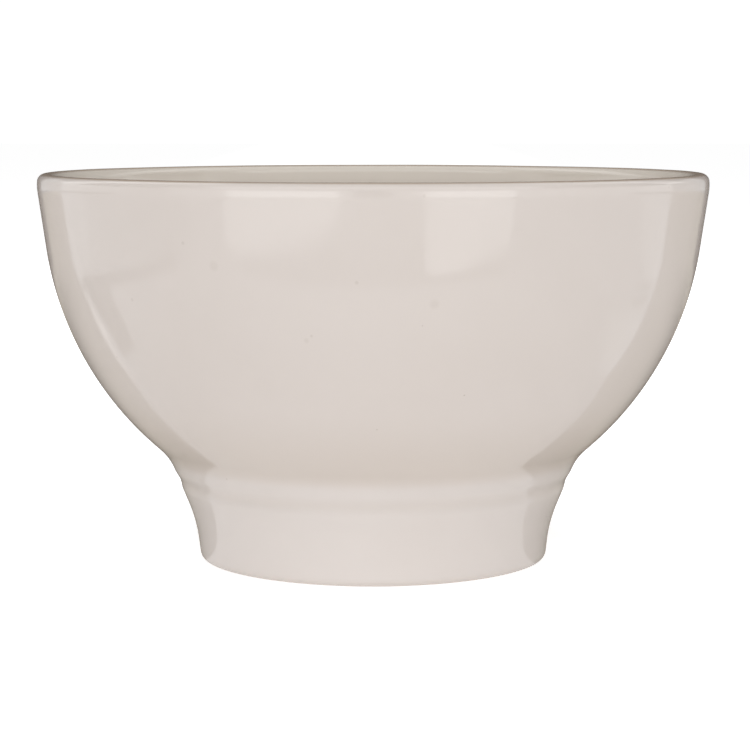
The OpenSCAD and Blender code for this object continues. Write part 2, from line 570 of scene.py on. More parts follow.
class Wire:
    """A value in a shader: an expression on it adds Math nodes."""

    def __init__(self, bench: "Bench", socket: bpy.types.NodeSocket) -> None:
        """Keep the bench that the value belongs to, and its socket."""
        self.bench = bench
        self.socket = socket

    def __add__(self, other: "Value") -> "Wire":
        """Return self + other."""
        return self.bench.maths("ADD", self, other)

    def __radd__(self, other: "Value") -> "Wire":
        """Return other + self."""
        return self.bench.maths("ADD", other, self)

    def __sub__(self, other: "Value") -> "Wire":
        """Return self - other."""
        return self.bench.maths("SUBTRACT", self, other)

    def __rsub__(self, other: "Value") -> "Wire":
        """Return other - self."""
        return self.bench.maths("SUBTRACT", other, self)

    def __mul__(self, other: "Value") -> "Wire":
        """Return self * other."""
        return self.bench.maths("MULTIPLY", self, other)

    def __rmul__(self, other: "Value") -> "Wire":
        """Return other * self."""
        return self.bench.maths("MULTIPLY", other, self)

    def __abs__(self) -> "Wire":
        """Return the value without its sign."""
        return self.bench.maths("ABSOLUTE", self)

    def __lt__(self, other: "Value") -> "Wire":
        """Return 1 where self is less than other, else 0."""
        return self.bench.maths("LESS_THAN", self, other)


Value = Wire | float | int
Fields = dict[str, object]


class Bench:
    """Puts together the nodes of one finish."""

    def __init__(self, tree: bpy.types.NodeTree) -> None:
        """Take a node tree and empty it."""
        self.tree = tree
        tree.nodes.clear()

    def node(self, kind: str, settings: Fields, sockets: Fields) -> bpy.types.Node:
        """Add a node.

        Args:
            kind: Type of the node.
            settings: Its settings, set before its sockets.
            sockets: Values or wires by the name or identifier of the input.

        Returns:
            The node.
        """
        node = self.tree.nodes.new(kind)
        for name, setting in settings.items():
            setattr(node, name, setting)
        for name, value in sockets.items():
            socket = next(s for s in node.inputs if name in (s.identifier, s.name))
            if isinstance(value, Wire):
                self.tree.links.new(value.socket, socket)
            elif socket.type == "RGBA":
                socket.default_value = (*value, 1.0)
            else:
                socket.default_value = value
        return node

    def wire(self, kind: str, settings: Fields, sockets: Fields, output: str) -> Wire:
        """Add a node and return one of its outputs, by name or identifier."""
        node = self.node(kind, settings, sockets)
        return Wire(self, next(s for s in node.outputs if output in (s.identifier, s.name)))

    def maths(self, operation: str, *values: Value) -> Wire:
        """Add a Math node on one or two values."""
        sockets = dict(zip(("Value", "Value_001"), values))
        return self.wire("ShaderNodeMath", {"operation": operation}, sockets, "Value")

    def place(self) -> Wire:
        """Return the place on the object, in the object's own coordinates."""
        return self.wire("ShaderNodeTexCoord", {}, {}, "Object")

    def along(self, place: Wire, axis: str) -> Wire:
        """Return one coordinate of a place, by the name of its axis."""
        return self.wire("ShaderNodeSeparateXYZ", {}, {"Vector": place}, axis)

    def away(self, place: Wire, centre: Point | Vector = ORIGIN) -> Wire:
        """Return the distance of a place from a centre."""
        ends = {"Vector": place, "Vector_001": centre}
        return self.wire("ShaderNodeVectorMath", {"operation": "DISTANCE"}, ends, "Value")

    def seen(self) -> Wire:
        """Return 1 on what the camera sees for itself and 0 in reflections and light."""
        return self.wire("ShaderNodeLightPath", {}, {}, "Is Camera Ray")

    def ease(self, value: Value, span: Span, base: float = 0.0) -> Wire:
        """Make a smooth step.

        Args:
            value: The value that it follows.
            span: Start and end of the step, counted from the base.
            base: Where the span is counted from.

        Returns:
            A value from 0 at the start to 1 at the end.
        """
        start, end = span
        ends = {"Value": value, "From Min": base + start, "From Max": base + end}
        return self.wire("ShaderNodeMapRange", {"interpolation_type": "SMOOTHSTEP"}, ends, "Result")

    def tint(self, share: Value, first: Wire | Colour, second: Wire | Colour) -> Wire:
        """Mix two colours, by the share of the second."""
        sockets = {"Factor_Float": share, "A_Color": first, "B_Color": second}
        return self.wire("ShaderNodeMix", {"data_type": "RGBA"}, sockets, "Result_Color")

    def noise(self, place: Wire, size: float, detail: float) -> Wire:
        """Return soft noise whose patches are about a size across, from 0 to 1."""
        sockets = {"Vector": place, "Scale": 1 / size, "Detail": detail}
        return self.wire("ShaderNodeTexNoise", {}, sockets, "Fac")

    def cells(self, place: Wire, gap: float) -> bpy.types.Node:
        """Return a node of cells whose centres are about a gap apart."""
        return self.node("ShaderNodeTexVoronoi", {}, {"Vector": place, "Scale": 1 / gap})

    def surface(self, looks: Fields, relief: Wire, depth: float) -> None:
        """Make the surface a Principled shader with a fine relief.

        Args:
            looks: Values or wires of the shader's inputs.
            relief: Height of the relief.
            depth: The length that a height of 1 stands for.
        """
        bump = {"Strength": 1.0, "Distance": depth, "Height": relief}
        normal = self.wire("ShaderNodeBump", {}, bump, "Normal")
        shader = self.wire("ShaderNodeBsdfPrincipled", {}, {**looks, "Normal": normal}, "BSDF")
        self.node("ShaderNodeOutputMaterial", {}, {"Surface": shader})


def new_material(name: str) -> tuple[bpy.types.Material, Bench]:
    """Make a material.

    Args:
        name: Its name.

    Returns:
        The material, and a bench on its empty node tree.
    """
    material = bpy.data.materials.new(name)
    material.use_nodes = True
    return material, Bench(material.node_tree)


class Side(Enum):
    """The face of the bowl that a coat of glaze lies on."""

    OUTSIDE = "outside"
    INSIDE = "inside"
    RECESS = "recess"


@dataclass(frozen=True)
class Mark:
    """A small flaw of the glaze, placed by its azimuth from the front and its height."""

    azimuth: float
    height: float
    size: float
    depth: float

    def place(self, form: BowlForm) -> Vector:
        """Find the mark's place on the outside of the bowl.

        Args:
            form: Sizes of the bowl.

        Returns:
            The place, in space.
        """
        belly = form.outer_belly
        brim = form.brim_end(form.skin_off)
        if self.height > brim.y:
            radius = brim.x + (self.height - brim.y) * tan(form.brim_slope)
        else:
            radius = belly.at(asin((belly.centre_z - self.height) / belly.half_height)).x
        return Vector((radius * sin(self.azimuth), -radius * cos(self.azimuth), self.height))


@dataclass(frozen=True)
class GlazeFinish:
    """A gloss glaze: even, faintly clouded, thinner and warm on edges, with a few small specks, and with
    painted light and shade: a paler foot, a lighter top inside the lip, shade above the collar, in the
    groove and deep in the well, and a dark reflection along the crest.
    """

    name: str
    side: Side
    body: Colour = (0.666, 0.604, 0.563)
    # Painted light: the top inside the lip is lighter than the inside below it.
    inside_lip_light: Colour = (0.703, 0.648, 0.580)
    deep: Colour = (0.652, 0.598, 0.538)
    # Painted light: the foot below the collar is paler, for the light that reaches it.
    foot: Colour = (0.690, 0.637, 0.604)
    # Thinner glaze on edges; also painted shade in the well and a painted dark reflection along the
    # crest.
    thin_and_shade: Colour = (0.400, 0.310, 0.230)
    # Random clouding, and painted shade in the crease above the collar and in the groove.
    cloud_and_crease_shade: Colour = (0.605, 0.540, 0.488)
    fleck: Colour = (0.300, 0.235, 0.180)
    marks: tuple[Mark, ...] = ()
    mark_core: float = 0.3
    cloud_size: float = 26 * MM
    cloud_detail: float = 3
    cloud_span: Span = (0.35, 0.72)
    cloud_share: float = 0.14
    cloud_rough: float = 0.05
    # Inner side of the lip, where the painted light lies.
    inside_lip_span: Span = (0.8 * MM, -1.2 * MM)
    brim_span: Span = (-9 * MM, -7 * MM)
    foot_span: Span = (0.3 * MM, -2.2 * MM)
    # The crest's dark line: thinner glaze there, and a painted dark reflection along the lip.
    crest_span: Span = (-0.45 * MM, -0.1 * MM)
    crest_sway: float = 0.1 * MM
    crest_share: float = 0.74
    edge_span: Span = (1.6 * MM, 0.3 * MM)
    edge_sway: float = 0.5 * MM
    edge_share: float = 0.1
    recess_share: float = 0.7
    # Painted shade: the inside turns darker towards the bottom of the well.
    well_drop: float = 30 * MM
    well_shade_share: float = 0.12
    # Painted shade in the crease above the collar and in the groove.
    crease_shade_span: Span = (17 * MM, 1 * MM)
    crease_shade_stop: Span = (-1.6 * MM, 1.6 * MM)
    groove_shade_share: float = 0.3
    peel_size: float = 1.6 * MM
    peel_detail: float = 1
    peel_depth: float = 0.004 * MM
    fleck_gap: float = 4.2 * MM
    fleck_r: float = 0.22 * MM
    fleck_core: float = 0.4
    fleck_kept: float = 0.2
    fleck_share: float = 0.55
    fleck_rough: float = 0.2
    roughness: float = 0.07
    ior: float = 1.52

    def material(self, form: BowlForm) -> bpy.types.Material:
        """Make the finish.

        Args:
            form: Sizes of the bowl, for the heights of the coat's thinner edges and of its painted light
                and shade.

        Returns:
            The material.
        """
        material, bench = new_material(self.name)
        place = bench.place()
        height = bench.along(place, "Z")
        cloud = bench.noise(place, self.cloud_size, self.cloud_detail)
        patchy = self.cloud_share * bench.ease(cloud, self.cloud_span)
        clouded = bench.tint(patchy, self.base(bench, form, place, height), self.cloud_and_crease_shade)
        # Thinner glaze on edges, a painted dark reflection on the crest and painted shade in the well.
        coated = bench.tint(self.thin_and_shade_share(bench, form, height, cloud), clouded, self.thin_and_shade)
        # Painted shade in the crease above the collar and in the groove.
        crease_shaded = self.crease_shade(bench, form, height, coated)
        fleck = self.flecks(bench, form, place)
        looks = {
            "Base Color": bench.tint(self.fleck_share * fleck, crease_shaded, self.fleck),
            "Roughness": self.roughness + self.cloud_rough * cloud + self.fleck_rough * fleck,
            "IOR": self.ior,
        }
        bench.surface(looks, bench.noise(place, self.peel_size, self.peel_detail), self.peel_depth)
        return material

    def base(self, bench: Bench, form: BowlForm, place: Wire, height: Wire) -> Wire | Colour:
        """Work out the coat's colour, with painted light: paler on the foot, and lighter at the top
        inside the lip than below it.

        Args:
            bench: Bench of the material.
            form: Sizes of the bowl.
            place: Place on the coat.
            height: Height of that place.

        Returns:
            The colour.
        """
        if self.side is Side.INSIDE:
            return self.deep
        if self.side is Side.RECESS:
            return self.body
        level = {"Vector": place, "Vector_001": LEVEL_PART}
        flat = bench.wire("ShaderNodeVectorMath", {"operation": "MULTIPLY"}, level, "Vector")
        inner = bench.ease(bench.away(flat), self.inside_lip_span, form.lip_c.x)
        brim = bench.ease(height, self.brim_span, form.bowl_h)
        below = bench.ease(height, self.foot_span, form.collar_z)
        sunk = bench.ease(height, (0.0, -form.lip_wrap), form.lip_c.y)
        # Painted light at the top inside the lip, fading to the darker inside tone below it.
        within = bench.tint(sunk, self.inside_lip_light, self.deep)
        # Painted light: paler below the collar, on the foot.
        return bench.tint(inner * brim, bench.tint(below, self.body, self.foot), within)

    def thin_and_shade_share(self, bench: Bench, form: BowlForm, height: Wire, cloud: Wire) -> Wire:
        """Work out the share of the darker edge tone at a height: thinner glaze on the edges, thinner
        glaze and a painted dark reflection on the crest, and painted shade towards the bottom of the
        well.

        Args:
            bench: Bench of the material.
            form: Sizes of the bowl.
            height: Height on the coat.
            cloud: Soft noise, for edges that aren't quite level.

        Returns:
            The share, from 0 to 1.
        """
        if self.side is Side.INSIDE:
            # Painted shade: darker towards the bottom of the well.
            well = (form.bowl_h - self.well_drop, form.belly_clear + form.floor_t)
            return self.well_shade_share * bench.ease(height, well)
        edge = bench.ease(height - self.edge_sway * cloud, self.edge_span)
        if self.side is Side.RECESS:
            return self.recess_share * edge
        crest = bench.ease(height + self.crest_sway * cloud, self.crest_span, form.bowl_h)
        return self.crest_share * crest + self.edge_share * edge

    def crease_shade(self, bench: Bench, form: BowlForm, height: Wire, coated: Wire) -> Wire:
        """Add painted shade, a deeper tone of the glaze, in the crease above the collar and in the
        groove.

        Args:
            bench: Bench of the material.
            form: Sizes of the bowl.
            height: Height on the coat.
            coated: Colour of the coat.

        Returns:
            The colour with the painted shade.
        """
        if self.side is not Side.OUTSIDE:
            return coated
        above = bench.ease(height, self.crease_shade_span, form.collar_z)
        below = bench.ease(height, self.crease_shade_stop, form.collar_z)
        half = form.groove_w / 2
        rise = bench.ease(height, (-half, 0.0), form.groove_z)
        fall = bench.ease(height, (half, 0.0), form.groove_z)
        return bench.tint(above * below + self.groove_shade_share * rise * fall, coated, self.cloud_and_crease_shade)

    def flecks(self, bench: Bench, form: BowlForm, place: Wire) -> Wire:
        """Make a mask of the small iron specks and the marks.

        Args:
            bench: Bench of the material.
            form: Sizes of the bowl.
            place: Place on the coat.

        Returns:
            The mask: 1 on a speck, and a mark's depth on that mark.
        """
        cells = bench.cells(place, self.fleck_gap)
        reach = self.fleck_r / self.fleck_gap
        dot = bench.ease(Wire(bench, cells.outputs["Distance"]), (reach, self.fleck_core * reach))
        lot = {"Color": Wire(bench, cells.outputs["Color"])}
        kept = bench.wire("ShaderNodeSeparateColor", {}, lot, "Red") < self.fleck_kept
        mask = dot * kept
        for mark in self.marks:
            gap = bench.away(place, mark.place(form))
            mask = mask + mark.depth * bench.ease(gap, (mark.size, self.mark_core * mark.size))
        return mask


@dataclass(frozen=True)
class ClayFinish:
    """Fired bare clay: matte, with a fine grain, soft patches and small pores."""

    name: str
    body: Colour
    dark: Colour
    grain_size: float = 0.5 * MM
    grain_detail: float = 4
    grain_share: float = 0.6
    grain_rough: float = 0.1
    patch_size: float = 9 * MM
    patch_detail: float = 2
    patch_share: float = 0.4
    tone_span: Span = (0.3, 0.7)
    pore_gap: float = 1.1 * MM
    pore_r: float = 0.14 * MM
    pore_core: float = 0.5
    pore_share: float = 0.6
    bump_depth: float = 0.03 * MM
    roughness: float = 0.82

    def material(self) -> bpy.types.Material:
        """Make the finish.

        Returns:
            The material.
        """
        material, bench = new_material(self.name)
        place = bench.place()
        grain = bench.noise(place, self.grain_size, self.grain_detail)
        patch = bench.noise(place, self.patch_size, self.patch_detail)
        gap = Wire(bench, bench.cells(place, self.pore_gap).outputs["Distance"])
        reach = self.pore_r / self.pore_gap
        pore = bench.ease(gap, (reach, self.pore_core * reach))
        tone = bench.ease(self.grain_share * grain + self.patch_share * patch, self.tone_span)
        fired = bench.tint(tone, self.body, self.dark)
        looks = {
            "Base Color": bench.tint(self.pore_share * pore, fired, self.dark),
            "Roughness": self.roughness + self.grain_rough * grain,
        }
        bench.surface(looks, grain - pore, self.bump_depth)
        return material


@dataclass(frozen=True)
class Waves:
    """The slow waves that hand-turned ware keeps: pressed into a skin, never out of it."""

    size: float = 30 * MM
    detail: int = 1
    depth: float = 0.12 * MM
    fade: float = 6 * MM

    def weights(self, skin: Outline, from_axis: bool) -> list[float]:
        """Return how far each point of a skin may sink, from 0 at a seam to 1.

        Args:
            skin: Outline of the skin.
            from_axis: Whether the first point lies on the axis, where there is no seam.

        Returns:
            One weight for each point.
        """
        gone = [0.0]
        for before, after in zip(skin, skin[1:]):
            gone.append(gone[-1] + (after - before).length)
        weights = []
        for distance in gone:
            room = gone[-1] - distance
            if not from_axis:
                room = min(room, distance)
            share = min(1.0, room / self.fade)
            weights.append(share * share * (3 - 2 * share))
        return weights

    def press(self, piece: bpy.types.Object, group: str) -> None:
        """Sink a group of a piece's points by soft noise.

        Args:
            piece: The piece.
            group: Name of the group of points.
        """
        texture = bpy.data.textures.new(f"{piece.name}_waves", "CLOUDS")
        texture.noise_scale = self.size
        texture.noise_depth = self.detail
        waves = piece.modifiers.new("waves", "DISPLACE")
        waves.texture = texture
        waves.texture_coords = "LOCAL"
        waves.vertex_group = group
        # The brightest tone stays where it is, and all others sink.
        waves.mid_level = 1.0
        waves.strength = self.depth
        bpy.ops.object.modifier_apply(modifier=waves.name)


class Lathe:
    """Turns an outline about the z axis with edit-mode operators."""

    SKIN_GROUP = "skin"

    def draw(self, name: str, points: Outline, closed: bool) -> bpy.types.Object:
        """Draw an outline in the xz plane, point after point.

        Args:
            name: Name of the new object.
            points: The outline, as (radius, height).
            closed: Whether the last point is joined to the first.

        Returns:
            The object, in object mode.
        """
        piece = trace(name, [Vector((point.x, 0, point.y)) for point in points])
        bpy.ops.object.mode_set(mode="OBJECT")
        if closed:
            for index, vertex in enumerate(piece.data.vertices):
                vertex.select = index in (0, len(points) - 1)
            bpy.ops.object.mode_set(mode="EDIT")
            bpy.ops.mesh.edge_face_add()
            bpy.ops.object.mode_set(mode="OBJECT")
        return piece

    def turn(self, piece: bpy.types.Object) -> None:
        """Turn a drawn outline full circle, close its seam and poles and smooth it.

        Args:
            piece: The object that holds the outline.
        """
        sweep = piece.modifiers.new("turn", "SCREW")
        sweep.axis = "Z"
        sweep.angle = 2 * pi
        sweep.steps = TURN_STEPS
        sweep.render_steps = TURN_STEPS
        bpy.ops.object.modifier_apply(modifier=sweep.name)
        bpy.ops.object.mode_set(mode="EDIT")
        bpy.ops.mesh.select_all(action="SELECT")
        bpy.ops.mesh.remove_doubles(threshold=MERGE_GAP)
        bpy.ops.mesh.normals_make_consistent(inside=False)
        bpy.ops.object.mode_set(mode="OBJECT")
        bpy.ops.object.shade_smooth_by_angle(angle=SMOOTH_ANGLE)

    def ring(self, name: str, outline: Outline) -> bpy.types.Object:
        """Turn a closed outline into a ring.

        Args:
            name: Name of the piece.
            outline: The outline, as (radius, height).

        Returns:
            The ring.
        """
        piece = self.draw(name, outline, closed=True)
        self.turn(piece)
        return piece

    def coat(self, name: str, skin: Outline, back: Outline, waves: Waves) -> bpy.types.Object:
        """Turn a coat: a finished skin with slow waves on a true clay side.

        Args:
            name: Name of the piece.
            skin: Outline of the finished face.
            back: Outline of the face on the clay, from the end of the skin to its start.
            waves: The waves of the skin.

        Returns:
            The coat, a closed shell.
        """
        from_axis = skin[0].x < MERGE_GAP
        outline = joined(skin, back)
        piece = self.draw(name, outline, closed=not from_axis)
        group = piece.vertex_groups.new(name=self.SKIN_GROUP)
        for index, weight in enumerate(waves.weights(skin, from_axis)):
            group.add([index], weight, "REPLACE")
        group.add(range(len(skin), len(outline)), 0.0, "REPLACE")
        self.turn(piece)
        waves.press(piece, self.SKIN_GROUP)
        return piece


SMALL_MARKS = (
    Mark(radians(-25.5), 65.4 * MM, 1.3 * MM, 0.16),
    Mark(radians(9.7), 58.7 * MM, 1.3 * MM, 0.16),
    Mark(radians(-2.5), 62.8 * MM, 0.5 * MM, 0.28),
    Mark(radians(-43.4), 58.1 * MM, 0.5 * MM, 0.28),
    Mark(radians(-10.9), 51.8 * MM, 0.7 * MM, 0.18),
    Mark(radians(-10.0), 52.7 * MM, 0.4 * MM, 0.30),
    Mark(radians(-30.8), 69.5 * MM, 0.5 * MM, 0.28),
    Mark(radians(54.7), 79.2 * MM, 0.5 * MM, 0.35),
    Mark(radians(7.6), 78.6 * MM, 0.5 * MM, 0.28),
)


def dress(piece: bpy.types.Object, material: bpy.types.Material) -> None:
    """Give a piece or a CAD node one material all over.

    Args:
        piece: The piece or node.
        material: The material.
    """
    if not piece.material_slots:
        piece.data.materials.append(material)
    for slot in piece.material_slots:
        slot.material = material


@dataclass
class GlazeCoat:
    """One coat of glaze: the piece that stands for its CAD node."""

    name: str
    node: str
    skin: Outline
    back: Outline
    finish: GlazeFinish
    waves: Waves

    def build(self, lathe: Lathe) -> bpy.types.Object:
        """Turn the coat and let it stand for its node.

        Args:
            lathe: The lathe that turns it.

        Returns:
            The piece.
        """
        piece = lathe.coat(self.name, self.skin, self.back, self.waves)
        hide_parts(self.node)
        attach(piece, "root")
        return piece

    def dress(self, piece: bpy.types.Object, form: BowlForm) -> None:
        """Give the coat its glaze."""
        dress(piece, self.finish.material(form))


@dataclass
class Foot:
    """The foot's clay, which shows only on its standing face."""

    name: str = "turned_foot"
    node: str = "foot_ring"
    slot: str = "foot_clay"
    finish: ClayFinish = ClayFinish("sanded_foot_clay", (0.62, 0.52, 0.40), (0.50, 0.40, 0.29))

    def build(self, lathe: Lathe, form: BowlForm) -> bpy.types.Object:
        """Turn the foot and let it stand for its node.

        Args:
            lathe: The lathe that turns it.
            form: Sizes of the bowl.

        Returns:
            The piece.
        """
        piece = lathe.ring(self.name, form.foot_outline())
        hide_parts(self.node)
        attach(piece, "root")
        return piece

    def dress(self, piece: bpy.types.Object) -> None:
        """Give the foot its clay."""
        dress(piece, self.finish.material())


@dataclass
class Core:
    """The clay bowl and the slip, which stay as their CAD nodes under the coats."""

    bowl: ClayFinish = ClayFinish("bowl_clay_body", (0.66, 0.57, 0.45), (0.54, 0.45, 0.34))
    slip: ClayFinish = ClayFinish("joint_slip_clay", (0.50, 0.41, 0.31), (0.42, 0.33, 0.24))

    def dress(self) -> None:
        """Give both nodes their clay."""
        dress(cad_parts["bowl_body"], self.bowl.material())
        dress(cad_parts["joint_slip"], self.slip.material())


class Reach(Enum):
    """What a lamp's light reaches."""

    ALL = "all"
    GLOSS = "gloss"
    MATTE = "matte"


@dataclass(frozen=True)
class SoftBox:
    """A soft lamp that faces the bowl and that the camera doesn't see."""

    name: str
    azimuth: float
    elevation: float
    distance: float
    size: tuple[float, float]
    radiance: float
    reach: Reach = Reach.ALL
    aim_z: float = 40 * MM

    def build(self) -> None:
        """Set up the lamp, at an azimuth from the front towards the right."""
        level = self.distance * cos(self.elevation)
        height = self.distance * sin(self.elevation)
        place = Vector((level * sin(self.azimuth), -level * cos(self.azimuth), height))
        aim = Vector((0, 0, self.aim_z)) - place
        bpy.ops.object.light_add(type="AREA", location=place)
        lamp = bpy.context.active_object
        lamp.name = self.name
        lamp.data.shape = "RECTANGLE"
        lamp.data.size, lamp.data.size_y = self.size
        lamp.data.energy = self.radiance * pi * self.size[0] * self.size[1]
        lamp.rotation_euler = aim.to_track_quat("-Z", "Y").to_euler()
        lamp.visible_camera = False
        lamp.visible_diffuse = self.reach is not Reach.GLOSS
        lamp.visible_glossy = self.reach is not Reach.MATTE


Paint = Callable[[Bench], Wire]


def gloss_prop(prop: bpy.types.Object, tone: Colour, paint: Paint | None = None) -> None:
    """Make a prop of the studio glow, for gloss to mirror and for nothing else.

    Args:
        prop: The prop.
        tone: Its even tone.
        paint: Adds nodes for a tone that varies, in place of the even one.
    """
    material, bench = new_material(f"{prop.name}_tone")
    colour = tone if paint is None else paint(bench)
    glow = bench.wire("ShaderNodeEmission", {}, {"Color": colour}, "Emission")
    bench.node("ShaderNodeOutputMaterial", {}, {"Surface": glow})
    material.cycles.emission_sampling = "NONE"
    dress(prop, material)
    prop.visible_camera = False
    prop.visible_diffuse = False
    prop.visible_shadow = False
    prop.visible_transmission = False


@dataclass(frozen=True)
class TableProp:
    """A flat shape on the table, drawn in millimetres, that only the gloss mirrors."""

    name: str
    tone: Colour
    plan_mm: Plan
    lift: float = 0.5 * MM

    def lay(self) -> bpy.types.Object:
        """Lay the shape on the table.

        Returns:
            The shape, in object mode.
        """
        shape = trace(self.name, [Vector((x * MM, y * MM, self.lift)) for x, y in self.plan_mm])
        bpy.ops.mesh.select_all(action="SELECT")
        bpy.ops.mesh.edge_face_add()
        bpy.ops.object.mode_set(mode="OBJECT")
        return shape

    def build(self) -> None:
        """Lay the shape and give it its even tone."""
        gloss_prop(self.lay(), self.tone)


@dataclass(frozen=True)
class Backdrop:
    """A grey sheet behind the bowl that widens away from it, and a dark wall on it."""

    sheet: TableProp = TableProp(
        "grey_backdrop",
        (0.43, 0.39, 0.325),
        (
            (-45, -10), (-98, 7), (-200, 72), (-1064, 828), (1721, 874),
            (153, 24), (100, -4), (72, -8), (45, -15),
        ),
    )
    shade_tone: Colour = (0.14, 0.12, 0.095)
    shade_angles: Span = (radians(68), radians(34))
    shade_span: Span = (500 * MM, 200 * MM)
    foot_shade: float = 0.6
    foot_shade_span: Span = (80 * MM, 45 * MM)
    wall_tone: Colour = (0.12, 0.10, 0.085)
    wall_half: float = 300 * MM
    wall_y: float = 450 * MM
    wall_h: float = 700 * MM

    def build(self) -> None:
        """Lay the sheet and set up the wall."""
        gloss_prop(self.sheet.lay(), self.sheet.tone, self.shaded)
        ends = [Vector((x, self.wall_y, self.sheet.lift)) for x in (-self.wall_half, self.wall_half)]
        wall = trace("dark_wall", ends)
        bpy.ops.mesh.select_all(action="SELECT")
        bpy.ops.mesh.extrude_region_move(TRANSFORM_OT_translate={"value": (0, 0, self.wall_h)})
        bpy.ops.object.mode_set(mode="OBJECT")
        gloss_prop(wall, self.wall_tone)

    def shaded(self, bench: Bench) -> Wire:
        """Work out the sheet's tone, which is darker behind the bowl and round its foot.

        Args:
            bench: Bench of the sheet's material.

        Returns:
            The tone.
        """
        place = bench.place()
        away = bench.away(place)
        angle = bench.maths("ARCTAN2", abs(bench.along(place, "X")), bench.along(place, "Y"))
        behind = bench.ease(angle, self.shade_angles) * bench.ease(away, self.shade_span)
        foot = self.foot_shade * bench.ease(away, self.foot_shade_span)
        return bench.tint(behind + foot - behind * foot, self.sheet.tone, self.shade_tone)


CARD_LIFT = 0.6 * MM
STRIP_LIFT = 0.4 * MM
TABLE_PROPS = (
    TableProp("edge_glint", (1.4, 1.36, 1.32), ((-98, 4), (-158, 33), (-207, 76))),
    TableProp("side_seam", (0.42, 0.40, 0.38), ((-228, 105), (-228, -120), (-275, -135), (-275, 105))),
    TableProp(
        "side_shade",
        (0.42, 0.40, 0.37),
        ((-118, 5), (-162, 29), (-204, 62), (-228, 80), (-228, 14), (-206, 9), (-157, -9), (-122, -15)),
    ),
    TableProp(
        "pale_strip_left",
        (0.99, 0.99, 0.99),
        ((-262, 112), (-330, 92), (-385, 100), (-560, 140), (-900, 300), (-900, 690), (-262, 130)),
        STRIP_LIFT,
    ),
    TableProp(
        "pale_strip_right",
        (1.1, 1.1, 1.1),
        ((256, 42), (336, 36), (376, 32), (545, 50), (900, 150), (900, 430), (256, 100)),
        STRIP_LIFT,
    ),
    TableProp(
        "pale_corner_right",
        (1.16, 1.16, 1.16),
        ((100, -18), (122, -24), (160, -30), (172, -4), (178, 36), (150, 30), (100, 8)),
        STRIP_LIFT,
    ),
    TableProp("near_line_right", (0.45, 0.43, 0.40), ((184, 4), (198, 38), (210, 44), (196, 6))),
    TableProp("far_line_right", (0.5, 0.48, 0.45), ((222, 10), (234, 54), (246, 58), (234, 14))),
    TableProp(
        "front_seam",
        (0.58, 0.57, 0.55),
        ((-165, -192), (180, -192), (180, -212), (70, -262), (-70, -262), (-165, -210)),
    ),
    TableProp(
        "white_card_left",
        (1.98, 1.98, 1.98),
        (
            (-570, -560), (-230, -228), (-200, -201), (-166, -208),
            (-115, -240), (-66, -268), (-50, -295), (-125, -790),
        ),
        CARD_LIFT,
    ),
    TableProp(
        "white_card_right",
        (2.05, 2.05, 2.05),
        (
            (215, -770), (80, -290), (64, -235), (70, -216),
            (140, -222), (185, -208), (215, -235), (545, -585),
        ),
        CARD_LIFT,
    ),
)


